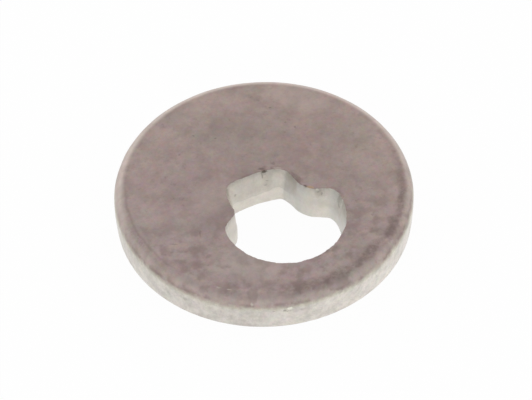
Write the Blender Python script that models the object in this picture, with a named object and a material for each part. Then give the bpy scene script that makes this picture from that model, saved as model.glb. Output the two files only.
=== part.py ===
"""Thick steel washer with an off-centre keyed hole, stamped in one piece.

The washer lies on z = 0 with its die-rolled face up, and the origin is the centre of that
resting circle. The bore sits off centre towards -Y, and its slot points back along +Y.
Lengths are in metres. "Right" is the +X side of the hole and "left" is the -X side.
"""
import math

import bmesh
import bpy
from mathutils import Vector

MM = 0.001

# The blanked disc
DISC_DIAMETER = 20.0 * MM
THICKNESS = 2.8 * MM

# The rim, from the top down: a rolled corner, a burnished band, a tapering break, a blunted foot
RIM_ROLL_WIDTH = 0.75 * MM
RIM_ROLL_DEPTH = 0.82 * MM
RIM_BAND = 0.90 * MM
RIM_TAPER = 0.07 * MM
RIM_FOOT = 0.08 * MM

# The punched bore, measured where the punch entered, and its place on the disc
BORE_DIAMETER = 7.6 * MM
BORE_OFFSET = 3.05 * MM

# Corners of the slot, as distances across and along from the bore's centre
SLOT_RIGHT_ACROSS = 1.65 * MM
SLOT_RIGHT_ALONG = 3.55 * MM
SLOT_LEFT_ACROSS = 2.07 * MM
SLOT_LEFT_ALONG = 3.78 * MM
SLOT_CROWN = 0.36 * MM

# Throats, where the slot's sides meet the shoulders, and the shoulders' height on the bore
THROAT_RIGHT_ACROSS = 2.18 * MM
THROAT_RIGHT_ALONG = 1.40 * MM
THROAT_LEFT_ACROSS = 2.64 * MM
THROAT_LEFT_ALONG = 1.65 * MM
SHOULDER_RIGHT_ALONG = 0.50 * MM
SHOULDER_LEFT_ALONG = 0.68 * MM

# Radii of the hole's corners
SLOT_CORNER_RADIUS = 0.45 * MM
SLOT_CROWN_RADIUS = 7.2 * MM
THROAT_RIGHT_RADIUS = 2.1 * MM
THROAT_LEFT_RADIUS = 1.2 * MM
SHOULDER_RIGHT_RADIUS = 0.84 * MM
SHOULDER_LEFT_RADIUS = 0.66 * MM

# The hole's wall, from the bottom up: a rolled corner, a burnished band, a break that flares
HOLE_ROLL_WIDTH = 0.12 * MM
HOLE_ROLL_DEPTH = 0.16 * MM
HOLE_BAND = 1.00 * MM
BORE_FLARE = 0.27 * MM
THROAT_FLARE = 0.12 * MM
SLOT_RIGHT_FLARE = 0.25 * MM
SLOT_LEFT_FLARE = 0.36 * MM

# Faceting
RIM_SEGMENTS = 144
BORE_SEGMENTS = 54
CORNER_SEGMENTS = 8
RIM_ROLL_SEGMENTS = 9
HOLE_ROLL_SEGMENTS = 5
SHARP_ANGLE = math.radians(30.0)

# The sheet's skin
STEEL_COLOR = (0.36, 0.31, 0.29, 1.0)
STEEL_ROUGHNESS = 0.48
STEEL_METALLIC = 0.85


def clear_scene():
    """Remove whatever the scene holds."""
    for scene_object in list(bpy.data.objects):
        bpy.data.objects.remove(scene_object, do_unlink=True)


def arc_stations(center, radius, start, end, hollow, flare, segments):
    """Return the stations of an arc: each is a point, the way out of the hole, and a flare."""
    stations = []
    for step in range(segments + 1):
        angle = start + (end - start) * step / segments
        spoke = Vector((math.cos(angle), math.sin(angle)))
        outward = spoke if hollow else -spoke
        stations.append((center + radius * spoke, outward, flare))
    return stations


def fillet_reaches(corners, radii):
    """Return how far each fillet runs along its sides, shortened where two would overlap."""
    reaches = [0.0]
    for before, corner, after, radius in zip(corners, corners[1:], corners[2:], radii):
        half = (before - corner).angle(after - corner) / 2
        reaches.append(radius / math.tan(half))
    reaches.append(0.0)
    room = [1.0] * len(reaches)
    for index, (corner, after) in enumerate(zip(corners, corners[1:])):
        wanted = reaches[index] + reaches[index + 1]
        share = min(1.0, (after - corner).length / wanted)
        room[index] = min(room[index], share)
        room[index + 1] = min(room[index + 1], share)
    return [reach * share for reach, share in zip(reaches, room)]


def fillet_stations(before, corner, after, reach, flare):
    """Return the stations of the arc that rounds a corner between two straight sides."""
    side_in = (before - corner).normalized()
    side_out = (after - corner).normalized()
    half = side_in.angle(side_out) / 2
    center = corner + (side_in + side_out).normalized() * (reach / math.cos(half))
    first = corner + side_in * reach - center
    last = corner + side_out * reach - center
    start = math.atan2(first.y, first.x)
    turn = math.atan2(first.x * last.y - first.y * last.x, first.dot(last))
    hollow = turn > 0.0
    return arc_stations(center, first.length, start, start + turn, hollow, flare, CORNER_SEGMENTS)


def shoulder_fillet(throat, height, radius):
    """Return the arc between a shoulder and the bore: its centre and its two tangent points.

    The arc lies inside the bore's circle and touches it, so its centre is the bore's radius less
    its own from the bore's centre, and its own radius from the shoulder's line.
    """
    bore_radius = BORE_DIAMETER / 2
    root = Vector((math.copysign(math.sqrt(bore_radius**2 - height**2), throat.x), height))
    radius = min(radius, (root - throat).length / 2)
    along = (root - throat).normalized()
    inward = Vector((along.y, -along.x)) * math.copysign(1.0, throat.x)
    offset = throat + inward * radius
    lead = offset.dot(along)
    run = math.sqrt(lead**2 - offset.length_squared + (bore_radius - radius) ** 2) - lead
    on_shoulder = throat + along * run
    center = on_shoulder + inward * radius
    on_bore = center.normalized() * bore_radius
    return center, on_shoulder, on_bore


def hollow_arc(center, first, last, segments):
    """Return the stations of an arc of the bore or of a shoulder, counter-clockwise."""
    spoke_in = first - center
    spoke_out = last - center
    start = math.atan2(spoke_in.y, spoke_in.x)
    turn = (math.atan2(spoke_out.y, spoke_out.x) - start) % math.tau
    return arc_stations(center, spoke_in.length, start, start + turn, True, BORE_FLARE, segments)


def hole_stations():
    """Return the hole's outline about the bore's centre, counter-clockwise from the right."""
    throat_right = Vector((THROAT_RIGHT_ACROSS, THROAT_RIGHT_ALONG))
    slot_right = Vector((SLOT_RIGHT_ACROSS, SLOT_RIGHT_ALONG))
    slot_left = Vector((-SLOT_LEFT_ACROSS, SLOT_LEFT_ALONG))
    throat_left = Vector((-THROAT_LEFT_ACROSS, THROAT_LEFT_ALONG))
    chord = slot_right - slot_left
    crown = (slot_right + slot_left) / 2
    crown += Vector((-chord.y, chord.x)).normalized() * SLOT_CROWN

    center = Vector((0.0, 0.0))
    right, shoulder_right, bore_right = shoulder_fillet(
        throat_right, SHOULDER_RIGHT_ALONG, SHOULDER_RIGHT_RADIUS)
    left, shoulder_left, bore_left = shoulder_fillet(
        throat_left, SHOULDER_LEFT_ALONG, SHOULDER_LEFT_RADIUS)

    corners = [shoulder_right, throat_right, slot_right, crown, slot_left, throat_left, shoulder_left]
    radii = [THROAT_RIGHT_RADIUS, SLOT_CORNER_RADIUS, SLOT_CROWN_RADIUS, SLOT_CORNER_RADIUS,
             THROAT_LEFT_RADIUS]
    flares = [THROAT_FLARE, SLOT_RIGHT_FLARE, SLOT_LEFT_FLARE, SLOT_LEFT_FLARE, THROAT_FLARE]
    reaches = fillet_reaches(corners, radii)[1:-1]

    stations = hollow_arc(right, bore_right, shoulder_right, CORNER_SEGMENTS)
    for before, corner, after, reach, flare in zip(corners, corners[1:], corners[2:], reaches, flares):
        stations += fillet_stations(before, corner, after, reach, flare)
    stations += hollow_arc(left, shoulder_left, bore_left, CORNER_SEGMENTS)
    stations += hollow_arc(center, bore_left, bore_right, BORE_SEGMENTS)[1:-1]
    return stations


def even_flare(stations):
    """Return the stations with the flare blended along the outline, so that no step shows."""
    reach = CORNER_SEGMENTS // 2
    count = len(stations)
    blended = []
    for index, (point, outward, _) in enumerate(stations):
        near = [stations[(index + shift) % count][2] for shift in range(-reach, reach + 1)]
        blended.append((point, outward, sum(near) / len(near)))
    return blended


def hole_levels():
    """Return the wall's levels from the bottom up: height, even opening, share of the flare."""
    levels = []
    for step in range(HOLE_ROLL_SEGMENTS + 1):
        angle = math.pi / 2 * (1.0 - step / HOLE_ROLL_SEGMENTS)
        height = HOLE_ROLL_DEPTH * (1.0 - math.sin(angle))
        levels.append((height, HOLE_ROLL_WIDTH * (1.0 - math.cos(angle)), 0.0))
    levels.append((HOLE_ROLL_DEPTH + HOLE_BAND, 0.0, 0.0))
    levels.append((THICKNESS, 0.0, 1.0))
    return levels


def rim_profile():
    """Return the rim's section from the top face down to the bottom face, as radius and height."""
    radius = DISC_DIAMETER / 2
    profile = []
    for step in range(RIM_ROLL_SEGMENTS + 1):
        angle = math.pi / 2 * step / RIM_ROLL_SEGMENTS
        across = radius - RIM_ROLL_WIDTH * (1.0 - math.sin(angle))
        profile.append((across, THICKNESS - RIM_ROLL_DEPTH * (1.0 - math.cos(angle))))
    profile.append((radius, THICKNESS - RIM_ROLL_DEPTH - RIM_BAND))
    profile.append((radius - RIM_TAPER, RIM_FOOT))
    profile.append((radius - RIM_TAPER - RIM_FOOT, 0.0))
    return profile


def spin_rim(bm):
    """Turn the rim's section round the disc and return its top and bottom edge loops."""
    section = [bm.verts.new((across, 0.0, height)) for across, height in rim_profile()]
    edges = [bm.edges.new(pair) for pair in zip(section, section[1:])]
    bmesh.ops.spin(bm, geom=section + edges, cent=(0.0, 0.0, 0.0), axis=(0.0, 0.0, 1.0),
                   angle=math.tau, steps=RIM_SEGMENTS, use_merge=True)
    rim_edges = [edge for edge in bm.edges if edge.is_boundary]
    top = [edge for edge in rim_edges if edge.verts[0].co.z > THICKNESS / 2]
    bottom = [edge for edge in rim_edges if edge.verts[0].co.z < THICKNESS / 2]
    return top, bottom


def ring_edges(bm, ring):
    """Return the edges of a closed ring of verts, made where they are missing."""
    pairs = [(ring[index - 1], ring[index]) for index in range(len(ring))]
    return [bm.edges.get(pair) or bm.edges.new(pair) for pair in pairs]


def extrude_ring(bm, ring):
    """Extrude a ring of verts and return the new ring in the same order."""
    extruded = bmesh.ops.extrude_edge_only(bm, edges=ring_edges(bm, ring))["geom"]
    fresh = {item for item in extruded if isinstance(item, bmesh.types.BMVert)}
    above = []
    for vert in ring:
        neighbours = [edge.other_vert(vert) for edge in vert.link_edges]
        above.append(next(other for other in neighbours if other in fresh))
    return above


def loft_hole(bm):
    """Extrude the hole's outline up through its levels and return its top and bottom loops."""
    stations = even_flare(hole_stations())
    levels = hole_levels()
    first_ring = [bm.verts.new() for _ in stations]
    ring = first_ring
    for index, (height, opening, share) in enumerate(levels):
        if index:
            ring = extrude_ring(bm, ring)
        for vert, (point, outward, flare) in zip(ring, stations):
            place = point + outward * (opening + flare * share)
            vert.co = (place.x, place.y - BORE_OFFSET, height)
    return ring_edges(bm, ring), ring_edges(bm, first_ring)


def make_washer():
    """Model the washer as one closed solid."""
    bm = bmesh.new()
    rim_top, rim_bottom = spin_rim(bm)
    hole_top, hole_bottom = loft_hole(bm)
    bmesh.ops.triangle_fill(bm, edges=rim_top + hole_top, use_beauty=True)
    bmesh.ops.triangle_fill(bm, edges=rim_bottom + hole_bottom, use_beauty=True)
    bmesh.ops.recalc_face_normals(bm, faces=bm.faces)
    for face in bm.faces:
        face.smooth = True
    mesh = bpy.data.meshes.new("washer")
    bm.to_mesh(mesh)
    bm.free()
    mesh.set_sharp_from_angle(angle=SHARP_ANGLE)
    washer = bpy.data.objects.new("washer", mesh)
    bpy.context.scene.collection.objects.link(washer)
    return washer


def steel_material():
    """Return the brown-grey steel that the washer is stamped from."""
    steel = bpy.data.materials.new("skinned_steel")
    steel.use_nodes = True
    shader = steel.node_tree.nodes["Principled BSDF"]
    shader.inputs["Base Color"].default_value = STEEL_COLOR
    shader.inputs["Roughness"].default_value = STEEL_ROUGHNESS
    shader.inputs["Metallic"].default_value = STEEL_METALLIC
    steel.diffuse_color = STEEL_COLOR
    return steel


def main():
    """Build the washer in an empty scene."""
    clear_scene()
    washer = make_washer()
    washer.data.materials.append(steel_material())


main()
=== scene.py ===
"""Looks of a thick steel washer with an off-centre keyed hole, stamped in one piece.

The washer lies on the floor with its rolled edge up. Lengths are in metres. The hole is laid out
about the bore's centre, "right" is its +X side, and a bearing is an angle from +X towards +Y.
"""

import math

import bmesh
import bpy
import numpy as np
from bpy.props import FloatProperty, FloatVectorProperty, PointerProperty
from bpy.types import Operator, Panel, PropertyGroup
from mathutils import Matrix, Vector, noise


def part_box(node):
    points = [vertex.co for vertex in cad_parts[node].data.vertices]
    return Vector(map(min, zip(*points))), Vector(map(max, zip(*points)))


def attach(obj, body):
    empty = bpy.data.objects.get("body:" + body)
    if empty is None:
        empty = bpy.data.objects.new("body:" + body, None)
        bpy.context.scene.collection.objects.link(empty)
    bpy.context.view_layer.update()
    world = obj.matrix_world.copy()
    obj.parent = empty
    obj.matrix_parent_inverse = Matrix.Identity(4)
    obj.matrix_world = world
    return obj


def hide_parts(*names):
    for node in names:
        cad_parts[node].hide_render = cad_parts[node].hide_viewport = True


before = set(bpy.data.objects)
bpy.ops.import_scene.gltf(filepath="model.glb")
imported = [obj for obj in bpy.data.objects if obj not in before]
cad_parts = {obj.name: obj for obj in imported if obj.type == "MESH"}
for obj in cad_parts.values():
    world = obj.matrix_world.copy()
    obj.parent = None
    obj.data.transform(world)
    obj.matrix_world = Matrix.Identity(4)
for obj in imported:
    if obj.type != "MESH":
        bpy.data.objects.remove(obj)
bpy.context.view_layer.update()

bl_info = {
    "name": "Keyed Washer",
    "version": (1, 0, 0),
    "blender": (4, 5, 0),
    "location": "3D View > Sidebar > Washer",
    "description": "Models and finishes a stamped steel washer with a keyed hole",
    "category": "Add Mesh",
}

MM = 0.001
CAD_LOW, CAD_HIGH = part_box("washer")

# How finely the washer is meshed
STATIONS = 640
ARC_STEPS = 24
BORE_STEPS = 200
ROLL_ROWS = 14
BAND_ROWS = 7
BREAK_ROWS = 14
FOOT_ROWS = 3
LIP_ROWS = 3
TOP_RINGS = 26
BOTTOM_RINGS = 12
FLARE_BLEND = 9
TEAR_CROWDING = 1.7
JOIN_DISTANCE = 0.001 * MM

# The floor, and how near the camera sees
FLOOR_SIDES = 96
FLOOR_REACH = 1.5
CLIP_START = 0.01

# Where the sheared rim and the hole's wall get the most painted light, where the skin reaches
# furthest down the rim and where it is scraped back, from -Y
BRIGHT_RIM = math.radians(30.0)
BRIGHT_WALL = math.radians(20.0)
LOW_SKIN = math.radians(-31.0)
BARED = math.radians(-8.0)

# How far down the rolled corner the skin reaches, as shares of its depth, how far and how widely it
# is scraped back, how softly it ends, and how far down the hole's wall its brink is darkened
SKIN_REACH = 0.78
SKIN_EXTRA = 0.28
SCRAPED_BACK = 0.10 * MM
SCRAPED_SPREAD = 0.40
SKIN_FADE = 0.8 * MM
BRINK_DEPTH = 0.14 * MM

# The hollow beside the rolled corner, and over what width the faces' waves die out towards it
HOLLOW_INSET = 0.25 * MM
HOLLOW_WIDTH = 0.3 * MM
CALM_WIDTH = 0.8 * MM

# Directions across the disc along which the looks change, with the change over a millimetre
TOWARDS_BACK = (0.66, 0.75, 0.0)
# The side towards which the rolled corner's worn skin is painted paler, as painted light
RUBBED_AND_LIT_SIDE = (0.0307, 0.0952, 0.0)
ROLL_SHIFT = (-0.0031, 0.0069, 0.0)
RING_SHIFT = (0.0142, -0.0028, 0.0)
RING_SIDE = (0.044, -0.090, 0.0)

# Slight leanings of a colour: the skin in front, behind and on the roll, the painted shade of the
# hole's walls that face away from the light, and the line where the skin gives way to sheared metal
FRONT_CAST = (1.01, 1.01, 1.026)
BACK_CAST = (0.99, 0.99, 0.962)
ROLL_CAST = (1.01, 1.065, 1.04)
SHADE_CAST = (0.99, 1.015, 1.04)
SKIN_END_CAST = (0.98, 1.04, 0.93)

# In millimetres, the radii where the rolled corner's look sets in, of the fold beside it, and where
# the darker ring comes in and goes out, and the height of the crease in the hole's wall
ROLL_START = (9.255, 9.615)
FOLD_RADIUS = 9.20
RING_IN = (8.55, 9.05)
RING_OUT = (9.16, 9.52)
CREASE_HEIGHT = 1.18

# Relief in millimetres of the fine grain, the pits and the marks
GRAIN_RELIEF = 0.008
PIT_RELIEF = 0.014
MARK_RELIEF = 0.05

# Small blemishes that the real washer shows: dirt, bright knocks, rust and paler skin, with painted
# shade in and under its nicks, crack, dent and chip, and painted highlights on the knocks. Each
# has its middle in millimetres, its half length, width and height in millimetres, the bearing of
# its length in degrees and its strength.
# Dirt, and painted shade: the nick, the crack under it, the dent, the chip and the entries named shade
# are shade painted dark.
DIRT_AND_SHADE = {
    "nick under the crown": ((0.63, 1.08, 2.71), (0.25, 0.30, 0.17), 12.0, 0.85),
    "burr on the crown": ((0.60, 1.36, 2.80), (0.45, 0.20, 0.10), 8.0, 0.25),
    "crack below the nick": ((0.47, 1.04, 2.45), (0.08, 0.22, 0.36), 12.0, 0.34),
    "shade below the nick": ((0.60, 1.05, 2.55), (0.22, 0.25, 0.22), 12.0, 0.22),
    "scuff below the nick": ((0.71, 0.89, 1.96), (0.15, 0.22, 0.07), 12.0, 0.40),
    "shade under the nick": ((0.80, 1.00, 1.95), (0.50, 0.50, 0.90), 0.0, 0.14),
    "dark patch above the nick": ((0.52, 1.34, 2.80), (0.36, 0.18, 0.20), -20.0, 0.50),
    "spot above the crown": ((1.45, 1.43, 2.80), (0.24, 0.18, 0.20), 60.0, 0.30),
    "curved scuff": ((0.58, 0.85, 1.64), (0.20, 0.22, 0.06), 0.0, 0.35),
    "dent on the crown's left": ((-0.89, 1.27, 2.80), (0.26, 0.13, 0.08), 0.0, 0.12),
    "dark edge right of the slot": ((2.27, -0.40, 2.80), (0.80, 0.24, 0.10), -73.0, 0.32),
    "scab beside the rust": ((2.40, -1.38, 2.79), (0.20, 0.16, 0.13), -45.0, 0.58),
    "chip's shade": ((3.06, -1.99, 2.50), (0.15, 0.20, 0.11), -28.0, 0.45),
    "shade round the chip": ((3.10, -2.02, 2.40), (0.40, 0.30, 0.50), -28.0, 0.15),
    "chip's tail": ((3.27, -2.10, 2.30), (0.08, 0.20, 0.24), -28.0, 0.35),
    "spot in the bore": ((3.92, -3.27, 1.91), (0.24, 0.24, 0.16), 0.0, 0.26),
    "spot in the slot's left": ((-1.67, 0.91, 1.71), (0.16, 0.20, 0.12), 0.0, 0.25),
    "shade under the rim's nick": ((-3.05, -9.52, 1.60), (0.32, 0.20, 0.06), -17.0, 0.35),
    "dot at the rim's nick": ((-3.28, -9.44, 1.68), (0.15, 0.20, 0.13), -19.0, 0.42),
    "dot behind the crown": ((-0.98, 5.29, 2.80), (0.12, 0.10, 0.10), 0.0, 0.30),
    "dot towards the rim": ((-2.19, 6.18, 2.80), (0.10, 0.12, 0.10), 0.0, 0.30),
    "fleck far left": ((-3.81, 5.06, 2.80), (0.16, 0.10, 0.10), 30.0, 0.28),
    "fleck far right": ((3.58, 6.12, 2.80), (0.14, 0.10, 0.10), -20.0, 0.30),
    "pair of flecks, first": ((3.87, 4.44, 2.80), (0.12, 0.10, 0.10), 0.0, 0.30),
    "pair of flecks, second": ((4.28, 3.75, 2.80), (0.16, 0.10, 0.10), 70.0, 0.30),
    "scratch on the left": ((-5.62, -1.88, 2.80), (0.40, 0.08, 0.10), 65.0, 0.25),
    "scratch by the rim": ((-7.58, -1.93, 2.80), (0.34, 0.09, 0.10), -30.0, 0.25),
    "stain front left": ((-6.01, -3.92, 2.80), (0.30, 0.20, 0.10), 20.0, 0.20),
    "dot left of the rim's nick": ((-3.96, -9.18, 1.69), (0.12, 0.14, 0.08), -23.0, 0.30),
    "dot right of the rim's nick": ((-2.15, -9.77, 1.55), (0.20, 0.14, 0.09), -12.0, 0.20),
    "spot low on the rim": ((-5.64, -8.22, 0.68), (0.30, 0.20, 0.16), -34.0, 0.14),
    "spot left on the rim": ((-8.45, -5.34, 1.38), (0.22, 0.20, 0.22), -58.0, 0.16),
    "spot far left on the rim": ((-9.08, -4.19, 1.14), (0.20, 0.20, 0.20), -65.0, 0.14),
}
# Bright bare metal at knocks, with painted highlights: the chip's glint and the bright crescent of the
# rim's nick.
GLINTS = {
    "rim's nick": ((-2.95, -9.55, 1.86), (0.28, 0.20, 0.17), -17.0, 1.0),
    "chip's glint": ((3.00, -1.92, 2.69), (0.15, 0.20, 0.10), -28.0, 0.7),
    "light streak in front": ((-6.07, -7.02, 2.79), (0.20, 0.07, 0.10), -30.0, 0.28),
    "light streak front left": ((-6.59, -6.57, 2.79), (0.24, 0.07, 0.10), -38.0, 0.22),
    "light fleck on the roll": ((-5.16, -8.49, 2.30), (0.13, 0.18, 0.16), -31.0, 0.32),
}
RUST = {
    "rust on the edge": ((2.68, -1.61, 2.78), (0.36, 0.14, 0.14), -38.0, 0.40),
}
# Places where the skin is made paler, towards the worn skin's colour.
PALE_MARKS = {
    "pale lip at the crown's right": ((1.50, 0.90, 2.80), (0.45, 0.16, 0.15), -30.0, 0.55),
    "pale spot on the roll": ((-4.85, -8.12, 2.75), (0.60, 0.55, 0.30), -28.0, 0.22),
    "pale stretch of the roll": ((-4.50, -8.50, 2.55), (3.60, 0.95, 0.45), -28.0, 0.13),
    "pale patch in front": ((-3.90, -5.70, 2.80), (3.20, 2.00, 0.30), -30.0, 0.24),
    "pale patch left of the slot": ((-3.60, 0.60, 2.80), (2.20, 1.60, 0.30), 20.0, 0.20),
    "pale patch far right": ((5.60, 6.40, 2.80), (3.00, 1.80, 0.30), -45.0, 0.22),
    "pale patch behind": ((-0.40, 8.40, 2.80), (4.20, 1.20, 0.30), 0.0, 0.10),
}


def length(name, description, millimetres):
    """Return a length property whose default is given in millimetres."""
    return FloatProperty(name=name, description=description, default=millimetres * MM, min=0.0,
                         precision=5, subtype="DISTANCE", unit="LENGTH")


def angle(name, description, degrees):
    """Return an angle property whose default is given in degrees."""
    return FloatProperty(name=name, description=description, default=math.radians(degrees),
                         precision=4, subtype="ANGLE", unit="ROTATION")


def share(name, description, default):
    """Return a property for a share from none to all."""
    return FloatProperty(name=name, description=description, default=default, min=0.0, max=1.0,
                         subtype="FACTOR")


def tint(name, description, red, green, blue):
    """Return a colour property whose default is given as a screen colour, each part up to 255."""
    levels = []
    for part in (red, green, blue):
        level = part / 255
        levels.append(level / 12.92 if level <= 0.04045 else ((level + 0.055) / 1.055) ** 2.4)
    return FloatVectorProperty(name=name, description=description, default=levels, size=3,
                               min=0.0, max=1.0, subtype="COLOR")


class WasherRim(PropertyGroup):
    """Sizes of the blanked disc and of the section of its rim."""

    diameter: length("Diameter", "Across the disc", (CAD_HIGH.x - CAD_LOW.x) / MM)
    thickness: length("Thickness", "Of the plate", (CAD_HIGH.z - CAD_LOW.z) / MM)
    roll_width: length("Roll Width", "How far the rolled corner reaches in", 0.75)
    roll_depth: length("Roll Depth", "How far the rolled corner reaches down", 0.82)
    band: length("Band", "Height of the smooth sheared band", 0.90)
    taper: length("Taper", "How far the torn band leans in", 0.07)
    foot: length("Foot", "Blunting of the lower corner", 0.08)


class WasherHole(PropertyGroup):
    """Sizes of the keyed hole, measured where the punch entered, and of its wall."""

    bore_diameter: length("Bore Diameter", "Of the round part", 7.6)
    bore_offset: length("Bore Offset", "From the disc's centre towards -Y", 3.05)
    slot_right_across: length("Slot Right Across", "Right corner, from the centre line", 1.65)
    slot_right_along: length("Slot Right Along", "Right corner, from the bore's centre", 3.55)
    slot_left_across: length("Slot Left Across", "Left corner, from the centre line", 2.07)
    slot_left_along: length("Slot Left Along", "Left corner, from the bore's centre", 3.78)
    slot_crown: length("Slot Crown", "Rise of the slot's end between its corners", 0.36)
    throat_right_across: length("Right Throat Across", "From the centre line", 2.18)
    throat_right_along: length("Right Throat Along", "From the bore's centre", 1.40)
    throat_left_across: length("Left Throat Across", "From the centre line", 2.64)
    throat_left_along: length("Left Throat Along", "From the bore's centre", 1.65)
    shoulder_right_along: length("Right Shoulder Along", "Where its line meets the bore", 0.50)
    shoulder_left_along: length("Left Shoulder Along", "Where its line meets the bore", 0.68)
    slot_corner_radius: length("Slot Corner Radius", "Of the slot's two corners", 0.45)
    slot_crown_radius: length("Slot Crown Radius", "Of the slot's end", 7.2)
    throat_right_radius: length("Right Throat Radius", "Of the right throat", 2.1)
    throat_left_radius: length("Left Throat Radius", "Of the left throat", 1.2)
    shoulder_right_radius: length("Right Shoulder Radius", "Where it meets the bore", 0.84)
    shoulder_left_radius: length("Left Shoulder Radius", "Where it meets the bore", 0.66)
    roll_width: length("Roll Width", "How far the lower corner is rolled out", 0.12)
    roll_depth: length("Roll Depth", "How high the lower corner is rolled", 0.16)
    band: length("Band", "Height of the smooth band on the wall", 1.00)
    bore_flare: length("Bore Flare", "How far the torn wall opens round the bore", 0.27)
    throat_flare: length("Throat Flare", "How far it opens at the throats", 0.12)
    slot_right_flare: length("Slot Right Flare", "How far it opens at the right corner", 0.25)
    slot_left_flare: length("Slot Left Flare", "How far it opens at the left corner", 0.36)
    lip: length("Lip", "Radius of the hole's upper edge", 0.04)
    brink: length("Brink", "Width of the darkened skin along the upper edge", 0.26)


class WasherWear(PropertyGroup):
    """How uneven the stamping left the surfaces."""

    torn_edge: length("Torn Edge", "How far the hole's upper edge wanders", 0.038)
    torn_wall: length("Torn Wall", "Roughness of the hole's torn wall", 0.022)
    crease: length("Crease", "Step where the smooth band ends and the wall tears", 0.025)
    lower_edge: length("Lower Edge", "How far the hole's lower edge wanders", 0.025)
    rim_break: length("Rim Break", "Roughness of the rim's torn band", 0.018)
    roll_wave: length("Roll Wave", "How far the rolled corner wanders", 0.040)
    face_wave: length("Face Wave", "How far the faces are out of flat", 0.014)
    moat: length("Moat", "Depth of the hollow beside the rolled corner", 0.016)


class WasherFinish(PropertyGroup):
    """Colours and gloss of the plate's skin and of the sheared metal."""

    skin_warm: tint("Warm Skin", "Brown of the plate's skin", 173, 152, 148)
    skin_cool: tint("Cool Skin", "Grey-green patches of the skin", 166, 151, 146)
    # Dark skin for specks, the darker ring and the skin's edges, also used as painted shade at the
    # front of the roll and in the fold.
    skin_dark_and_shade: tint("Dark Skin", "Darker skin beside the rolled corner", 118, 101, 96)
    skin_worn: tint("Worn Skin", "Skin rubbed thin on the rolled corner", 202, 188, 180)
    sheared: tint("Sheared Steel", "Clean metal of the sheared rim", 215, 209, 201)
    sheared_band: tint("Smooth Band", "Clean metal low on the hole's wall", 211, 205, 196)
    sheared_dull: tint("Dull Sheared Steel", "Torn metal of the hole's wall", 203, 197, 188)
    # Painted shade: a dark grey that darkens the hole's wall towards its top edge.
    wall_shade: tint("Wall Shade", "Painted shade high on the hole's wall", 118, 112, 107)
    # Dirt, also used as painted shade in the nicks, the crack, the dent, the chip and the crease.
    dirt_and_shade: tint("Dirt", "Dirt in nicks and along edges", 84, 72, 64)
    rust: tint("Rust", "The small orange spot on the hole's edge", 204, 167, 120)
    # Bright bare metal at knocks, also used as a painted highlight on the chip and the rim's nick.
    glint: tint("Glint", "Bright metal where something knocked the edge", 234, 231, 217)
    skin_roughness: share("Skin Roughness", "Of the plate's skin", 0.42)
    sheared_roughness: share("Sheared Roughness", "Of the sheared walls", 0.38)
    skin_metallic: share("Skin Metallic", "How metallic the skin is", 0.70)
    sheared_metallic: share("Sheared Metallic", "How metallic the sheared walls are", 0.70)


class WasherStudio(PropertyGroup):
    """Where the camera stands, and the light."""

    view_azimuth: angle("Azimuth", "Of the camera round the washer, from -Y", -25.875)
    view_elevation: angle("Elevation", "Of the camera above the floor", 48.628)
    view_roll: angle("Roll", "Lean of the picture", 1.330)
    aim_right: angle("Aim Right", "Of the washer's centre, towards the right", 0.0352)
    aim_up: angle("Aim Up", "Above the washer's centre", 0.2617)
    distance: length("Distance", "From the camera to the washer's centre", 188.54)
    lens: FloatProperty(name="Lens", description="Focal length in millimetres", default=189.50)
    backdrop: tint("Backdrop", "Colour of the floor and of what lies beyond", 255, 255, 255)
    shadow: share("Shadow", "How much of the floor's shadow the camera sees", 0.04)
    horizon: FloatProperty(name="Horizon", description="Brightness of the sky low down",
                           default=1.18, min=0.0)
    overhead: FloatProperty(name="Overhead", description="Brightness of the sky overhead",
                            default=0.70, min=0.0)
    lit_side: angle("Lit Side", "Where the sky is brightest, from -Y", 154.0)
    lean: share("Lean", "How much brighter and darker than the mean its two sides are", 0.08)


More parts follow.
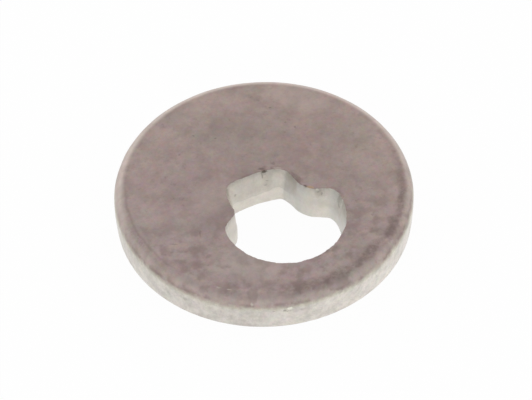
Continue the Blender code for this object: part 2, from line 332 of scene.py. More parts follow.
class Recipe:
    """Adds the nodes of one material or world and wires them."""

    def __init__(self, owner):
        owner.use_nodes = True
        self.tree = owner.node_tree
        self.tree.nodes.clear()

    def add(self, kind, inputs=None, **settings):
        """Add a node, set its options and feed its inputs."""
        node = self.tree.nodes.new(kind)
        for name, value in settings.items():
            setattr(node, name, value)
        for name, value in (inputs or {}).items():
            if isinstance(value, bpy.types.NodeSocket):
                self.tree.links.new(value, node.inputs[name])
            else:
                node.inputs[name].default_value = value
        return node

    def math(self, operation, first, second):
        """Return a sum, product or the like of two values."""
        return self.add("ShaderNodeMath", {0: first, 1: second}, operation=operation).outputs[0]

    def product(self, *values):
        """Return the product of some values."""
        result = values[0]
        for value in values[1:]:
            result = self.math("MULTIPLY", result, value)
        return result

    def vector(self, operation, *inputs, output="Vector"):
        """Return a sum, product, length or the like of vectors."""
        node = self.add("ShaderNodeVectorMath", dict(enumerate(inputs)), operation=operation)
        return node.outputs[output]

    def scale(self, color, factors):
        """Return a colour or vector with each part multiplied."""
        return self.vector("MULTIPLY", color, factors)

    def along(self, place, direction):
        """Return how far each place is along a direction, times the direction's length."""
        return self.vector("DOT_PRODUCT", place, direction, output="Value")

    def part(self, place, axis):
        """Return one part of a place, X, Y or Z."""
        return self.add("ShaderNodeSeparateXYZ", {0: place}).outputs[axis]

    def attribute(self, name):
        """Return a value that the mesh keeps for each point."""
        return self.add("ShaderNodeAttribute", attribute_name=name).outputs["Fac"]

    def noise(self, place, per_mm, detail=2.0, roughness=0.5, offset=0.0, output="Fac"):
        """Return soft noise round a half, with that many grains to a millimetre."""
        moved = self.vector("ADD", place, (offset, offset, offset))
        node = self.add("ShaderNodeTexNoise", {"Vector": moved, "Scale": per_mm, "Detail": detail,
                                               "Roughness": roughness})
        return node.outputs[output]

    def fade(self, value, start, end, low=0.0, high=1.0):
        """Return low up to start, high past end, and a smooth change between them."""
        node = self.add("ShaderNodeMapRange", {0: value, 1: start, 2: end, 3: low, 4: high},
                        interpolation_type="SMOOTHSTEP")
        return node.outputs[0]

    def wander(self, value, place, per_mm, swing, **texture):
        """Return a value that drifts by up to that swing from place to place."""
        drift = self.noise(place, per_mm, **texture)
        return self.math("ADD", value, self.fade(drift, 0.2, 0.8, -swing, swing))

    def spot(self, place, middle, half_sizes, bearing):
        """Return one in the middle of an oval spot, fading to none at its outline."""
        turned = self.add("ShaderNodeMapping", {
            "Vector": place, "Location": middle, "Rotation": (0.0, 0.0, math.radians(bearing)),
            "Scale": half_sizes}, vector_type="TEXTURE")
        reach = self.vector("LENGTH", turned.outputs[0], output="Value")
        return self.fade(reach, 0.35, 1.0, 1.0, 0.0)

    def bump_band(self, value, centre, half_width):
        """Return one at the centre of a band of values, fading to none at its two ends."""
        rise = self.fade(value, centre - half_width, centre)
        fall = self.fade(value, centre, centre + half_width, 1.0, 0.0)
        return self.product(rise, fall)

    def mix(self, factor, first, second):
        """Return a blend of two colours, each from a node or plain."""
        first, second = (color if isinstance(color, bpy.types.NodeSocket) else rgba(color)
                         for color in (first, second))
        node = self.add("ShaderNodeMix", {0: factor, 6: first, 7: second}, data_type="RGBA")
        return node.outputs[2]

    def blend(self, factor, first, second):
        """Return a blend of two values."""
        node = self.add("ShaderNodeMix", {0: factor, 2: first, 3: second}, data_type="FLOAT")
        return node.outputs[0]

    def dim(self, color, factor):
        """Return a colour multiplied by a value."""
        node = self.add("ShaderNodeVectorMath", {0: color, "Scale": factor}, operation="SCALE")
        return node.outputs[0]

    def stain(self, color, place, per_mm, depth, offset):
        """Return a colour whose three parts wander on their own, in specks of many sizes."""
        specks = self.noise(place, per_mm, detail=4.0, roughness=0.85, offset=offset, output="Color")
        even = 1.0 - depth / 2
        factors = self.vector("MULTIPLY_ADD", specks, (depth, depth, depth), (even, even, even))
        return self.scale(color, factors)


def rgba(color):
    """Return a colour with its alpha."""
    return (*color, 1.0)


def held(value):
    """Return a value kept between none and all."""
    return min(1.0, max(0.0, value))


def facing(turn):
    """Return the level direction that far round from -Y."""
    return Vector((math.sin(turn), -math.cos(turn), 0.0))


def ripple(place, per_mm, offset=0.0):
    """Return smooth noise from -1 to 1 at a place, with that many ripples to a millimetre."""
    return noise.noise(Vector(place) * (per_mm / MM) + Vector((offset, offset, offset)))


def arc_points(center, first, turn, flare, steps=ARC_STEPS):
    """Return points along an arc from its first point, each with its flare."""
    spoke = first - center
    points = []
    for step in range(steps + 1):
        spun = Matrix.Rotation(turn * step / steps, 2) @ spoke
        points.append((center + spun, flare))
    return points


def fillet_reaches(corners, radii):
    """Return how far each fillet runs along its sides, shortened where two would overlap."""
    reaches = [0.0]
    for before, corner, after, radius in zip(corners, corners[1:], corners[2:], radii):
        half = (before - corner).angle(after - corner) / 2
        reaches.append(radius / math.tan(half))
    reaches.append(0.0)
    room = [1.0] * len(reaches)
    for index, (corner, after) in enumerate(zip(corners, corners[1:])):
        fit = min(1.0, (after - corner).length / (reaches[index] + reaches[index + 1]))
        room[index] = min(room[index], fit)
        room[index + 1] = min(room[index + 1], fit)
    return [reach * fit for reach, fit in zip(reaches, room)][1:-1]


def fillet_points(before, corner, after, reach, flare):
    """Return the arc that rounds a corner between two straight sides."""
    side_in = (before - corner).normalized()
    side_out = (after - corner).normalized()
    half = side_in.angle(side_out) / 2
    center = corner + (side_in + side_out).normalized() * (reach / math.cos(half))
    first = corner + side_in * reach - center
    last = corner + side_out * reach - center
    turn = math.atan2(first.x * last.y - first.y * last.x, first.dot(last))
    return arc_points(center, first + center, turn, flare)


def shoulder_fillet(hole, throat, height, radius):
    """Return the arc between a shoulder and the bore: its centre and its two tangent points."""
    bore_radius = hole.bore_diameter / 2
    root = Vector((math.copysign(math.sqrt(bore_radius**2 - height**2), throat.x), height))
    radius = min(radius, (root - throat).length / 2)
    along = (root - throat).normalized()
    inward = Vector((along.y, -along.x)) * math.copysign(1.0, throat.x)
    offset = throat + inward * radius
    lead = offset.dot(along)
    run = math.sqrt(lead**2 - offset.length_squared + (bore_radius - radius) ** 2) - lead
    on_shoulder = throat + along * run
    center = on_shoulder + inward * radius
    return center, on_shoulder, center.normalized() * bore_radius


def turn_between(center, first, last):
    """Return the counter-clockwise turn from one point to another about a centre."""
    spoke_in = first - center
    spoke_out = last - center
    return (math.atan2(spoke_out.y, spoke_out.x) - math.atan2(spoke_in.y, spoke_in.x)) % math.tau


def hole_points(hole):
    """Return the hole's outline about the bore's centre, counter-clockwise from the right."""
    throat_right = Vector((hole.throat_right_across, hole.throat_right_along))
    slot_right = Vector((hole.slot_right_across, hole.slot_right_along))
    slot_left = Vector((-hole.slot_left_across, hole.slot_left_along))
    throat_left = Vector((-hole.throat_left_across, hole.throat_left_along))
    chord = slot_right - slot_left
    crown = (slot_right + slot_left) / 2
    crown += Vector((-chord.y, chord.x)).normalized() * hole.slot_crown

    center = Vector((0.0, 0.0))
    right, shoulder_right, bore_right = shoulder_fillet(
        hole, throat_right, hole.shoulder_right_along, hole.shoulder_right_radius)
    left, shoulder_left, bore_left = shoulder_fillet(
        hole, throat_left, hole.shoulder_left_along, hole.shoulder_left_radius)
    corners = [shoulder_right, throat_right, slot_right, crown, slot_left, throat_left,
               shoulder_left]
    radii = [hole.throat_right_radius, hole.slot_corner_radius, hole.slot_crown_radius,
             hole.slot_corner_radius, hole.throat_left_radius]
    flares = [hole.throat_flare, hole.slot_right_flare, hole.slot_left_flare,
              hole.slot_left_flare, hole.throat_flare]
    reaches = fillet_reaches(corners, radii)

    points = arc_points(right, bore_right, turn_between(right, bore_right, shoulder_right),
                        hole.bore_flare)
    for before, corner, after, reach, flare in zip(corners, corners[1:], corners[2:], reaches, flares):
        points += fillet_points(before, corner, after, reach, flare)
    points += arc_points(left, shoulder_left, turn_between(left, shoulder_left, bore_left),
                         hole.bore_flare)
    points += arc_points(center, bore_left, turn_between(center, bore_left, bore_right),
                         hole.bore_flare, BORE_STEPS)
    return points


class HoleOutline:
    """The hole's outline at even bearings about the bore's centre."""

    def __init__(self, hole):
        points = hole_points(hole)
        bearings = [math.atan2(point.y, point.x) for point, _ in points]
        stations = np.arange(STATIONS) * math.tau / STATIONS
        reach = np.interp(stations, bearings, [point.length for point, _ in points], period=math.tau)
        flare = np.interp(stations, bearings, [spread for _, spread in points], period=math.tau)
        shifts = range(-FLARE_BLEND, FLARE_BLEND + 1)
        self.flare = sum(np.roll(flare, shift) for shift in shifts) / len(shifts)
        self.places = np.stack([reach * np.cos(stations), reach * np.sin(stations)], axis=1)
        along = np.roll(self.places, -1, axis=0) - np.roll(self.places, 1, axis=0)
        outward = np.stack([along[:, 1], -along[:, 0]], axis=1)
        self.outward = outward / np.linalg.norm(outward, axis=1, keepdims=True)
        self.offset = hole.bore_offset

    def place(self, station, opening, height):
        """Return a point of the wall, opened outwards at that station."""
        spot = self.places[station] + self.outward[station] * opening
        return Vector((spot[0], spot[1] - self.offset, height))


def hole_levels(hole, thickness):
    """Return the wall's levels from the bottom up: height, opening, share of flare and of tear."""
    levels = []
    for row in range(LIP_ROWS + 2):
        bend = math.pi / 2 * row / (LIP_ROWS + 1)
        levels.append((hole.roll_depth * (1.0 - math.cos(bend)),
                       hole.roll_width * (1.0 - math.sin(bend)), 0.0, 0.0))
    top_of_band = hole.roll_depth + hole.band
    for row in range(1, BAND_ROWS + 1):
        levels.append((hole.roll_depth + hole.band * row / BAND_ROWS, 0.0, 0.0, 0.0))
    torn = thickness - hole.lip - top_of_band
    for row in range(1, BREAK_ROWS + 1):
        part = 1.0 - (1.0 - row / BREAK_ROWS) ** TEAR_CROWDING
        levels.append((top_of_band + torn * part, 0.0, part, min(1.0, 4.0 * part)))
    for row in range(1, LIP_ROWS + 1):
        bend = math.pi / 2 * row / LIP_ROWS
        levels.append((thickness - hole.lip * (1.0 - math.sin(bend)),
                       hole.lip * (1.0 - math.cos(bend)), 1.0, 1.0))
    levels.append((thickness, 2.0 * hole.lip, 1.0, 1.0))
    levels.append((thickness, hole.brink, 1.0, 1.0))
    return levels


def rim_profile(rim):
    """Return the rim's section from the top face to the bottom face, as radius and height."""
    radius = rim.diameter / 2
    profile = []
    for row in range(ROLL_ROWS + 1):
        bend = math.pi / 2 * row / ROLL_ROWS
        profile.append((radius - rim.roll_width * (1.0 - math.sin(bend)),
                        rim.thickness - rim.roll_depth * (1.0 - math.cos(bend))))
    end_of_band = rim.thickness - rim.roll_depth - rim.band
    for row in range(1, BAND_ROWS + 1):
        profile.append((radius, end_of_band + rim.band * (1.0 - row / BAND_ROWS)))
    for row in range(1, BREAK_ROWS + 1):
        part = row / BREAK_ROWS
        profile.append((radius - rim.taper * part, end_of_band + (rim.foot - end_of_band) * part))
    for row in range(1, FOOT_ROWS + 1):
        bend = math.pi / 2 * row / FOOT_ROWS
        profile.append((radius - rim.taper - rim.foot * (1.0 - math.cos(bend)),
                        rim.foot * (1.0 - math.sin(bend))))
    return profile


class PointValues:
    """What is kept for each point: how sheared, how near the brink, its painted light and its station.
    """

    def __init__(self, bm):
        layers = bm.verts.layers
        self.sheared = layers.float.new("sheared")
        self.brink = layers.float.new("brink")
        self.painted_light = layers.float.new("painted_light")
        self.station = layers.int.new("station")


def number_stations(verts, values):
    """Number points by their bearing."""
    for vert in verts:
        turns = math.atan2(vert.co.y, vert.co.x) / math.tau
        vert[values.station] = round(turns * STATIONS) % STATIONS


def spin_rim(bm, rim):
    """Turn the rim's section round the disc and return its top and bottom edge loops."""
    section = [bm.verts.new((across, 0.0, height)) for across, height in rim_profile(rim)]
    edges = [bm.edges.new(pair) for pair in zip(section, section[1:])]
    bmesh.ops.spin(bm, geom=section + edges, cent=(0.0, 0.0, 0.0), axis=(0.0, 0.0, 1.0),
                   angle=math.tau, steps=STATIONS, use_merge=True)
    open_edges = [edge for edge in bm.edges if edge.is_boundary]
    top = [edge for edge in open_edges if edge.verts[0].co.z > rim.thickness / 2]
    bottom = [edge for edge in open_edges if edge.verts[0].co.z < rim.thickness / 2]
    return top, bottom


def wear_rim(bm, rim, wear, values):
    """Roughen the spun rim and mark how far each point is sheared and how much painted light it gets.
    """
    brightest = facing(BRIGHT_RIM)
    lowest = facing(LOW_SKIN)
    bared = facing(BARED)
    end_of_band = rim.thickness - rim.roll_depth - rim.band
    for vert in bm.verts:
        place = vert.co.copy()
        drop = rim.thickness - place.z
        spoke = Vector((place.x, place.y, 0.0)).normalized()
        rolled = min(1.0, drop / rim.roll_depth) if place.z > end_of_band else 0.0
        wave = ripple(place, 0.45) + 0.5 * ripple(place, 1.3, 3.0)
        vert.co -= spoke * (wear.roll_wave * (0.5 + 0.5 * wave) * math.sin(math.pi * rolled))
        if place.z < end_of_band:
            tear = 0.5 + 0.5 * ripple((place.x, place.y, place.z * 0.4), 2.2, 7.0)
            tear += 0.4 * ripple(place, 6.0, 9.0)
            vert.co -= spoke * (wear.rim_break * max(0.0, tear))
        skin_reach = rim.roll_depth * (SKIN_REACH + SKIN_EXTRA * max(0.0, spoke.dot(lowest)))
        skin_reach -= SCRAPED_BACK * max(0.0, 1.0 - (spoke - bared).length / SCRAPED_SPREAD)
        vert[values.sheared] = held(0.5 + (drop - skin_reach) / SKIN_FADE)
        # Painted light: the sheared rim is painted brighter on the side that faces BRIGHT_RIM.
        vert[values.painted_light] = spoke.dot(brightest) ** 2


def loft_hole(bm, rim, hole, wear, values):
    """Extrude the hole's outline up through its levels and return its top and bottom loops."""
    outline = HoleOutline(hole)
    brightest = -facing(BRIGHT_WALL).to_2d()
    ring = bmesh.ops.create_circle(bm, segments=STATIONS, radius=hole.bore_diameter / 2)["verts"]
    number_stations(ring, values)
    edges = list({edge for vert in ring for edge in vert.link_edges})
    bottom = edges
    top_of_band = hole.roll_depth + hole.band
    for index, (height, opening, spread, torn) in enumerate(hole_levels(hole, rim.thickness)):
        if index:
            ring, edges = extrude_ring(bm, edges)
        for vert in ring:
            station = vert[values.station]
            spot = outline.place(station, 0.0, 0.0)
            tear = ripple((spot.x, spot.y, height * 0.35), 2.4, 5.0)
            tear += 0.5 * ripple((spot.x, spot.y, height * 0.6), 7.0, 11.0)
            edge_wave = ripple(spot, 1.6, 2.0) + 0.8 * ripple(spot, 4.5, 4.0)
            edge_wave += 0.4 * ripple(spot, 9.0, 14.0)
            opened = opening + outline.flare[station] * spread
            opened += torn * (wear.crease + wear.torn_wall * tear)
            opened += spread**3 * wear.torn_edge * edge_wave
            opened += max(0.0, 1.0 - height / top_of_band) * wear.lower_edge * ripple(spot, 1.9, 8.0)
            vert.co = outline.place(station, opened, height)
            vert[values.sheared] = 1.0 if height < rim.thickness - 0.5 * hole.lip else 0.0
            # Painted light: the hole's wall is painted brighter where it faces BRIGHT_WALL.
            lit = Vector(outline.outward[station]).dot(brightest)
            vert[values.painted_light] = held((lit + 0.12) / 0.75)
            under = (rim.thickness - height) / BRINK_DEPTH
            vert[values.brink] = max(0.0, 1.0 - under) if opening < hole.brink else 0.0
    return edges, bottom


def extrude_ring(bm, edges):
    """Extrude a closed loop of edges and return the new loop's verts and edges."""
    extruded = bmesh.ops.extrude_edge_only(bm, edges=edges)["geom"]
    ring = {item for item in extruded if isinstance(item, bmesh.types.BMVert)}
    return ring, [item for item in extruded if isinstance(item, bmesh.types.BMEdge)
                  and ring.issuperset(item.verts)]


def ring_face(bm, hole_edges, rim_edges, rings, values):
    """Extrude the hole's edge out to the rim in even rings, join them, and return the points."""
    station = values.station
    inner = {vert[station]: vert.co.copy() for edge in hole_edges for vert in edge.verts}
    outer = {vert[station]: vert.co.copy() for edge in rim_edges for vert in edge.verts}
    edges = hole_edges
    inside = []
    for ring_index in range(1, rings + 1):
        ring, edges = extrude_ring(bm, edges)
        for vert in ring:
            vert.co = inner[vert[station]].lerp(outer[vert[station]], ring_index / rings)
        if ring_index < rings:
            inside += ring
    joined = {vert for edge in edges + rim_edges for vert in edge.verts}
    bmesh.ops.remove_doubles(bm, verts=list(joined), dist=JOIN_DISTANCE)
    return inside


def wear_face(verts, rim, wear, values, upper):
    """Put a face slightly out of flat, with a shallow hollow beside the rolled corner."""
    shoulder = rim.diameter / 2 - rim.roll_width
    for vert in verts:
        vert[values.sheared] = 0.0
        place = vert.co.copy()
        wave = ripple(place, 0.35, 1.0) + 0.45 * ripple(place, 1.1, 6.0)
        reach = Vector((place.x, place.y)).length
        calm = held((shoulder - reach) / CALM_WIDTH)
        if upper:
            hollow = math.exp(-(((reach - shoulder + HOLLOW_INSET) / HOLLOW_WIDTH) ** 2))
            patch = 0.6 + 0.6 * ripple(place, 0.6, 12.0)
            vert.co.z += wear.face_wave * calm * (wave - 0.6) - wear.moat * hollow * max(0.0, patch)
        else:
            vert.co.z += 0.5 * wear.face_wave * calm * max(0.0, 0.5 + wave)


def make_washer_mesh(scene):
    """Model the washer as one closed mesh."""
    rim = scene.washer_rim
    hole = scene.washer_hole
    wear = scene.washer_wear
    bm = bmesh.new()
    values = PointValues(bm)
    rim_top, rim_bottom = spin_rim(bm, rim)
    number_stations(bm.verts, values)
    wear_rim(bm, rim, wear, values)
    hole_top, hole_bottom = loft_hole(bm, rim, hole, wear, values)
    top = ring_face(bm, hole_top, rim_top, TOP_RINGS, values)
    wear_face(top, rim, wear, values, upper=True)
    bottom = ring_face(bm, hole_bottom, rim_bottom, BOTTOM_RINGS, values)
    wear_face(bottom, rim, wear, values, upper=False)
    bmesh.ops.recalc_face_normals(bm, faces=bm.faces)
    if any(not edge.is_manifold for edge in bm.edges):
        raise RuntimeError("the washer's mesh is not closed")
    for face in bm.faces:
        face.smooth = True
    bm.verts.layers.int.remove(values.station)
    mesh = bpy.data.meshes.new("stamped_washer")
    bm.to_mesh(mesh)
    bm.free()
    return mesh


def skin_color(recipe, finish, place, reach):
    """Return the colour of the plate's skin: brown with grey-green patches, clouded and grained."""
    patches = recipe.noise(place, 0.30, detail=3.0, roughness=0.6)
    color = recipe.mix(recipe.fade(patches, 0.20, 0.80), finish.skin_warm, finish.skin_cool)
    clouds = recipe.noise(place, 0.40, detail=6.0, roughness=0.72, offset=20.0)
    color = recipe.dim(color, recipe.fade(clouds, 0.30, 0.70, 0.89, 1.11))
    color = recipe.dim(color, recipe.fade(reach, 4.5, 9.0, 0.95, 1.05))
    behind = recipe.fade(recipe.along(place, TOWARDS_BACK), -9.0, 9.0)
    color = recipe.mix(behind, recipe.scale(color, FRONT_CAST), recipe.scale(color, BACK_CAST))
    grains = recipe.noise(place, 5.0, detail=4.0, roughness=0.7, offset=25.0)
    color = recipe.dim(color, recipe.fade(grains, 0.30, 0.70, 0.975, 1.025))
    color = recipe.stain(color, place, 2.2, 0.50, offset=40.0)
    specks = recipe.noise(place, 2.6, detail=3.0, roughness=0.7, offset=60.0)
    return recipe.mix(recipe.fade(specks, 0.56, 0.80, 0.0, 0.40), color, finish.skin_dark_and_shade)


def rolled_color(recipe, finish, place, reach, skin, rubbed_and_lit_side):
    """Return the skin's colour with the rolled corner added, worn paler, more so towards the back as
    painted light.
    """
    shifted = recipe.math("ADD", reach, recipe.along(place, ROLL_SHIFT))
    rolled = recipe.fade(shifted, *ROLL_START)
    # Painted light: the worn skin on the roll shows more towards the back and less in front.
    rubbed = recipe.product(
        recipe.fade(recipe.noise(place, 0.9, detail=3.0, offset=15.0), 0.30, 0.70, 0.60, 0.95),
        recipe.fade(rubbed_and_lit_side, -0.36, 0.34))
    skin = recipe.mix(rolled, skin, recipe.scale(skin, ROLL_CAST))
    worn = recipe.stain(finish.skin_worn, place, 1.6, 0.3, offset=45.0)
    return recipe.mix(recipe.product(rolled, rubbed), skin, worn)


def darker_ring(recipe, place, reach):
    """Return where the skin is darker, in a ring beside the rolled corner, strongest on one side."""
    reach = recipe.wander(reach, place, 0.8, 0.26, detail=4.0, roughness=0.65, offset=80.0)
    reach = recipe.math("SUBTRACT", reach, recipe.along(place, RING_SHIFT))
    side = recipe.fade(recipe.along(place, RING_SIDE), 0.41, 0.85, 0.08, 1.0)
    ragged = recipe.noise(place, 1.6, detail=5.0, roughness=0.8, offset=90.0)
    return recipe.product(recipe.fade(reach, *RING_IN), recipe.fade(reach, *RING_OUT, 1.0, 0.0),
                          side, recipe.fade(ragged, 0.30, 0.66, 0.25, 1.0))


def darkened(recipe, place, reach, height, painted, rubbed_and_lit_side):
    """Return how strongly each thing darkens the skin, painted shade at the roll's front and in the
    fold among them.
    """
    across = recipe.part(place, "X")
    back = recipe.part(place, "Y")
    patchy = recipe.fade(recipe.noise(place, 1.1, detail=3.0, offset=100.0), 0.42, 0.62)
    # Painted shade: the rolled corner is darkened a little at the front.
    front_roll_shade = recipe.product(recipe.fade(height, 2.70, 2.45, 0.0, 0.06),
                            recipe.fade(rubbed_and_lit_side, -0.75, -0.15, 1.0, 0.0))
    ring_darkening = recipe.product(darker_ring(recipe, place, reach), 0.66)
    # Painted shade: a dark line in the fold where the face meets the rolled corner, strongest on the
    # far left.
    fold_reach = recipe.wander(reach, place, 0.9, 0.10, detail=2.0, offset=65.0)
    fold_shade_strength = recipe.math("MAXIMUM", recipe.product(patchy, 0.15),
                          recipe.fade(across, -8.9, -7.9, 0.26, 0.0))
    fold_shade = recipe.product(recipe.bump_band(fold_reach, FOLD_RADIUS, 0.15), fold_shade_strength)
    # The skin is darker in patches along the hole's upper edge.
    brink_darkening = recipe.product(recipe.attribute("brink"), recipe.fade(back, -4.5, -1.5, 0.1, 0.6),
                             recipe.fade(across, -1.4, 0.6, 0.12, 1.0), patchy)
    skin_end = recipe.wander(painted, place, 0.8, 0.1, detail=2.0, offset=55.0)
    lined = recipe.product(recipe.bump_band(skin_end, 0.16, 0.36), patchy,
                           recipe.fade(rubbed_and_lit_side, -0.5, -0.1, 0.55, 0.2))
    return front_roll_shade, ring_darkening, fold_shade, brink_darkening, lined


def hole_wall_color(recipe, finish, place, height, painted_light):
    """Return the colour of the hole's wall: a clean band, torn metal above it, and painted shade high
    on it and along the crease.
    """
    level = recipe.wander(height, place, 0.8, 0.22, detail=2.0, offset=35.0)
    back = recipe.part(place, "Y")
    crown = recipe.fade(back, -0.9, 0.5)
    torn = recipe.blend(crown, recipe.fade(level, 0.3, 2.3), recipe.fade(level, 1.10, 1.28))
    wall = recipe.mix(torn, finish.sheared_band, finish.sheared_dull)
    # Painted shadow: a thin dark line along the crease where the smooth band ends, in the dirt colour.
    crease = recipe.product(recipe.bump_band(level, CREASE_HEIGHT, 0.08), crown, 0.12)
    wall = recipe.mix(crease, wall, finish.dirt_and_shade)
    # Painted shade: the wall darkens towards its top edge, less where it gets the most painted light.
    top_shade = recipe.product(recipe.fade(height, 1.90, 2.75, 0.0, 0.29),
                           recipe.fade(back, -1.4, 0.7, 0.72, 1.0),
                           recipe.fade(painted_light, 0.3, 0.95, 1.0, 0.57))
    wall = recipe.mix(top_shade, wall, finish.wall_shade)
    # Painted shade: a further darkening just under the top edge of the walls that face the light.
    lip_shade = recipe.product(recipe.fade(height, 2.35, 2.78, 0.0, 0.24),
                           recipe.fade(painted_light, 0.55, 0.95))
    wall = recipe.mix(lip_shade, wall, finish.wall_shade)
    # Painted shade: walls that face away from the light get a cooler cast.
    shaded = recipe.fade(painted_light, 0.3, 0.8, 1.0, 0.0)
    return recipe.mix(shaded, wall, recipe.scale(wall, SHADE_CAST))


def sheared_color(recipe, finish, place, reach, height):
    """Return the clouded, faintly streaked colour of sheared metal on the rim and in the hole, with
    painted light.
    """
    streaks = recipe.noise(recipe.scale(place, (1.0, 1.0, 0.25)), 3.0, detail=3.0, roughness=0.6,
                           offset=10.0)
    inside = recipe.fade(reach, 8.0, 8.5, 1.0, 0.0)
    painted_light = recipe.attribute("painted_light")
    wall = hole_wall_color(recipe, finish, place, height, painted_light)
    color = recipe.mix(inside, finish.sheared, wall)
    # Painted light: brighter where the walls face the light, more so in the hole.
    glow = recipe.blend(inside, recipe.fade(painted_light, 0.0, 1.0, 0.92, 1.055),
                        recipe.fade(painted_light, 0.0, 1.0, 0.935, 1.13))
    color = recipe.dim(color, glow)
    color = recipe.dim(color, recipe.fade(streaks, 0.2, 0.8, 0.98, 1.02))
    # Painted light: the walls are painted slightly brighter towards their foot.
    color = recipe.dim(color, recipe.fade(height, 2.0, 0.2, 1.0, 1.03))
    clouds = recipe.noise(place, 0.9, detail=4.0, roughness=0.85, offset=30.0)
    clouds = recipe.blend(inside, recipe.fade(clouds, 0.30, 0.70, 0.83, 1.13),
                          recipe.fade(clouds, 0.30, 0.70, 0.93, 1.06))
    color = recipe.dim(color, clouds)
    return recipe.stain(color, place, 1.5, 0.20, offset=130.0)


def marked(recipe, place, marks):
    """Return how strongly some marks show at each place."""
    ragged = recipe.noise(place, 7.0, detail=1.0, offset=110.0, output="Color")
    shaken = recipe.vector("MULTIPLY_ADD", ragged, (0.12, 0.12, 0.12), place)
    shaken = recipe.vector("SUBTRACT", shaken, (0.06, 0.06, 0.06))
    strongest = 0.0
    for middle, half_sizes, bearing, strength in marks.values():
        seen = recipe.product(recipe.spot(shaken, middle, half_sizes, bearing), strength)
        strongest = recipe.math("MAXIMUM", seen, strongest)
    return strongest


def steel_relief(recipe, place, struck):
    """Return the bumps of the surface: fine grain, pits, and dents where something struck it."""
    grain = recipe.noise(place, 5.0, detail=4.0, roughness=0.6, offset=70.0)
    pits = recipe.noise(place, 1.4, detail=3.0, offset=75.0)
    relief = recipe.math("ADD", recipe.product(grain, GRAIN_RELIEF), recipe.product(pits, PIT_RELIEF))
    relief = recipe.math("SUBTRACT", relief, recipe.product(struck, MARK_RELIEF))
    bump = recipe.add("ShaderNodeBump", {"Height": relief, "Strength": 1.0, "Distance": MM})
    return bump.outputs["Normal"]


def steel_material(finish):
    """Return the finish of the whole washer."""
    steel = bpy.data.materials.new("stamped_steel")
    recipe = Recipe(steel)
    coordinates = recipe.add("ShaderNodeTexCoord").outputs["Object"]
    place = recipe.scale(coordinates, (1.0 / MM, 1.0 / MM, 1.0 / MM))
    reach = recipe.vector("LENGTH", recipe.scale(place, (1.0, 1.0, 0.0)), output="Value")
    height = recipe.part(place, "Z")
    painted = recipe.attribute("sheared")
    edge = recipe.wander(painted, place, 1.8, 0.20, detail=4.0, roughness=0.7, offset=50.0)
    sheared = recipe.fade(edge, 0.12, 0.92)
    rubbed_and_lit_side = recipe.along(place, RUBBED_AND_LIT_SIDE)

    skin = skin_color(recipe, finish, place, reach)
    skin = rolled_color(recipe, finish, place, reach, skin, rubbed_and_lit_side)
    # The darkenings, painted shade among them, all go towards the dark skin.
    for strength in darkened(recipe, place, reach, height, painted, rubbed_and_lit_side):
        skin = recipe.mix(strength, skin, finish.skin_dark_and_shade)
    color = recipe.mix(sheared, skin, sheared_color(recipe, finish, place, reach, height))
    skin_end = recipe.product(recipe.bump_band(edge, 0.55, 0.45), 0.65)
    color = recipe.mix(skin_end, color, recipe.scale(color, SKIN_END_CAST))
    glint = marked(recipe, place, GLINTS)
    dirt_and_shade = marked(recipe, place, DIRT_AND_SHADE)
    color = recipe.mix(marked(recipe, place, PALE_MARKS), color, finish.skin_worn)
    # Bare metal and painted highlights from the glint marks.
    color = recipe.mix(glint, color, finish.glint)
    color = recipe.mix(marked(recipe, place, RUST), color, finish.rust)
    # Dirt and painted shade from the marks.
    color = recipe.mix(dirt_and_shade, color, finish.dirt_and_shade)

    shader = recipe.add("ShaderNodeBsdfPrincipled", {
        "Base Color": color,
        "Roughness": recipe.blend(sheared, finish.skin_roughness, finish.sheared_roughness),
        "Metallic": recipe.blend(sheared, finish.skin_metallic, finish.sheared_metallic),
        "Normal": steel_relief(recipe, place, recipe.math("MAXIMUM", glint, dirt_and_shade))})
    recipe.add("ShaderNodeOutputMaterial", {"Surface": shader.outputs[0]})
    return steel


def seen_directly(recipe):
    """Return one for rays from the camera and for those that a gloss or a glass sends on."""
    rays = recipe.add("ShaderNodeLightPath").outputs
    glossy = recipe.math("MAXIMUM", rays["Is Camera Ray"], rays["Is Glossy Ray"])
    return recipe.math("MAXIMUM", glossy, rays["Is Transmission Ray"])


def floor_material(studio):
    """Return a pale floor that keeps a faint shadow."""
    pale = bpy.data.materials.new("pale_floor")
    recipe = Recipe(pale)
    lit = recipe.add("ShaderNodeBsdfDiffuse", {"Color": rgba(studio.backdrop)})
    white = recipe.add("ShaderNodeEmission", {"Color": rgba(studio.backdrop), "Strength": 1.0})
    plain = recipe.product(seen_directly(recipe), 1.0 - studio.shadow)
    surface = recipe.add("ShaderNodeMixShader", {0: plain, 1: lit.outputs[0], 2: white.outputs[0]})
    recipe.add("ShaderNodeOutputMaterial", {"Surface": surface.outputs[0]})
    return pale


def make_floor(studio):
    """Lay a plain round floor under the washer."""
    bm = bmesh.new()
    bmesh.ops.create_circle(bm, cap_ends=True, segments=FLOOR_SIDES, radius=FLOOR_REACH)
    mesh = bpy.data.meshes.new("floor")
    bm.to_mesh(mesh)
    bm.free()
    mesh.materials.append(floor_material(studio))
    floor = bpy.data.objects.new("floor", mesh)
    bpy.context.scene.collection.objects.link(floor)
    return floor


def light_studio(scene, studio):
    """Light the washer with a soft sky that dims overhead and towards one side."""
    sky = bpy.data.worlds.new("studio_sky")
    scene.world = sky
    recipe = Recipe(sky)
    direction = recipe.add("ShaderNodeTexCoord").outputs["Generated"]
    dimming = recipe.fade(recipe.part(direction, "Z"), 0.25, 0.80, studio.horizon, studio.overhead)
    side = recipe.along(direction, facing(studio.lit_side))
    leaning = recipe.fade(side, -1.0, 1.0, 1.0 - studio.lean, 1.0 + studio.lean)
    background = recipe.add("ShaderNodeBackground", {
        "Color": rgba(studio.backdrop), "Strength": recipe.product(dimming, leaning)})
    recipe.add("ShaderNodeOutputWorld", {"Surface": background.outputs[0]})


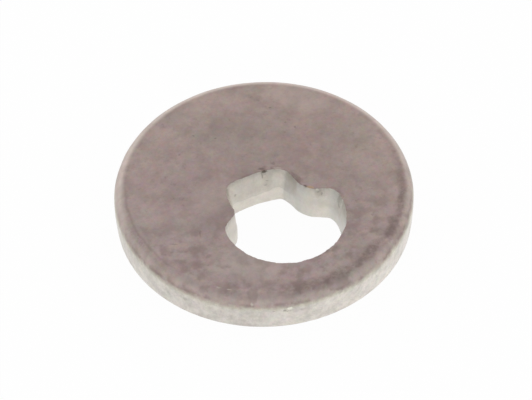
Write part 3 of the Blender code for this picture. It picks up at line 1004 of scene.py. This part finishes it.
def aim_camera(scene, studio):
    """Stand the camera where the photograph was taken."""
    turn = studio.view_azimuth
    rise = studio.view_elevation
    level = Vector((math.cos(turn), math.sin(turn), 0.0))
    ahead = Vector((-math.sin(turn) * math.cos(rise), math.cos(turn) * math.cos(rise),
                    -math.sin(rise)))
    above = level.cross(ahead)
    right = level * math.cos(studio.view_roll) - above * math.sin(studio.view_roll)
    above = right.cross(ahead)
    aim = (ahead + right * math.tan(studio.aim_right) + above * math.tan(studio.aim_up)).normalized()
    right = aim.cross(above).normalized()
    above = right.cross(aim)

    camera_data = bpy.data.cameras.new("camera")
    camera_data.lens = studio.lens
    camera_data.clip_start = CLIP_START
    camera = bpy.data.objects.new("camera", camera_data)
    turned = Matrix((right, above, -aim)).transposed()
    camera.matrix_world = Matrix.Translation(-ahead * studio.distance) @ turned.to_4x4()
    scene.collection.objects.link(camera)
    scene.camera = camera


class WASHER_OT_stage(Operator):
    """Lay the floor, set the light and stand the camera"""

    bl_idname = "washer.stage"
    bl_label = "Set Stage"

    def execute(self, context):
        scene = context.scene
        studio = scene.washer_studio
        scene.view_settings.view_transform = "Standard"
        floor = make_floor(studio)
        light_studio(scene, studio)
        aim_camera(scene, studio)
        return {"FINISHED"}


class WASHER_OT_stamp(Operator):
    """Model the washer and give it its finish"""

    bl_idname = "washer.stamp"
    bl_label = "Stamp Washer"

    def execute(self, context):
        scene = context.scene
        mesh = make_washer_mesh(scene)
        mesh.materials.append(steel_material(scene.washer_finish))
        washer = bpy.data.objects.new("stamped_washer", mesh)
        scene.collection.objects.link(washer)
        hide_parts("washer")
        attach(washer, "root")
        return {"FINISHED"}


GROUPS = {
    "washer_rim": WasherRim,
    "washer_hole": WasherHole,
    "washer_wear": WasherWear,
    "washer_finish": WasherFinish,
    "washer_studio": WasherStudio,
}


class WASHER_PT_sidebar(Panel):
    """Sizes, finish and stage of the washer"""

    bl_idname = "WASHER_PT_sidebar"
    bl_label = "Keyed Washer"
    bl_space_type = "VIEW_3D"
    bl_region_type = "UI"
    bl_category = "Washer"

    def draw(self, context):
        layout = self.layout
        layout.operator(WASHER_OT_stage.bl_idname)
        layout.operator(WASHER_OT_stamp.bl_idname)
        for group_name in GROUPS:
            box = layout.box()
            box.label(text=group_name.replace("washer_", "").capitalize())
            group = getattr(context.scene, group_name)
            for prop_name in group.__annotations__:
                box.prop(group, prop_name)


CLASSES = (*GROUPS.values(), WASHER_OT_stage, WASHER_OT_stamp, WASHER_PT_sidebar)


def register():
    for cls in CLASSES:
        bpy.utils.register_class(cls)
    for group_name, group in GROUPS.items():
        setattr(bpy.types.Scene, group_name, PointerProperty(type=group))


def unregister():
    for group_name in GROUPS:
        delattr(bpy.types.Scene, group_name)
    for cls in reversed(CLASSES):
        bpy.utils.unregister_class(cls)


def main():
    """Build the stage and the washer."""
    register()
    bpy.ops.washer.stage()
    bpy.ops.washer.stamp()


if __name__ == "__main__":
    main()
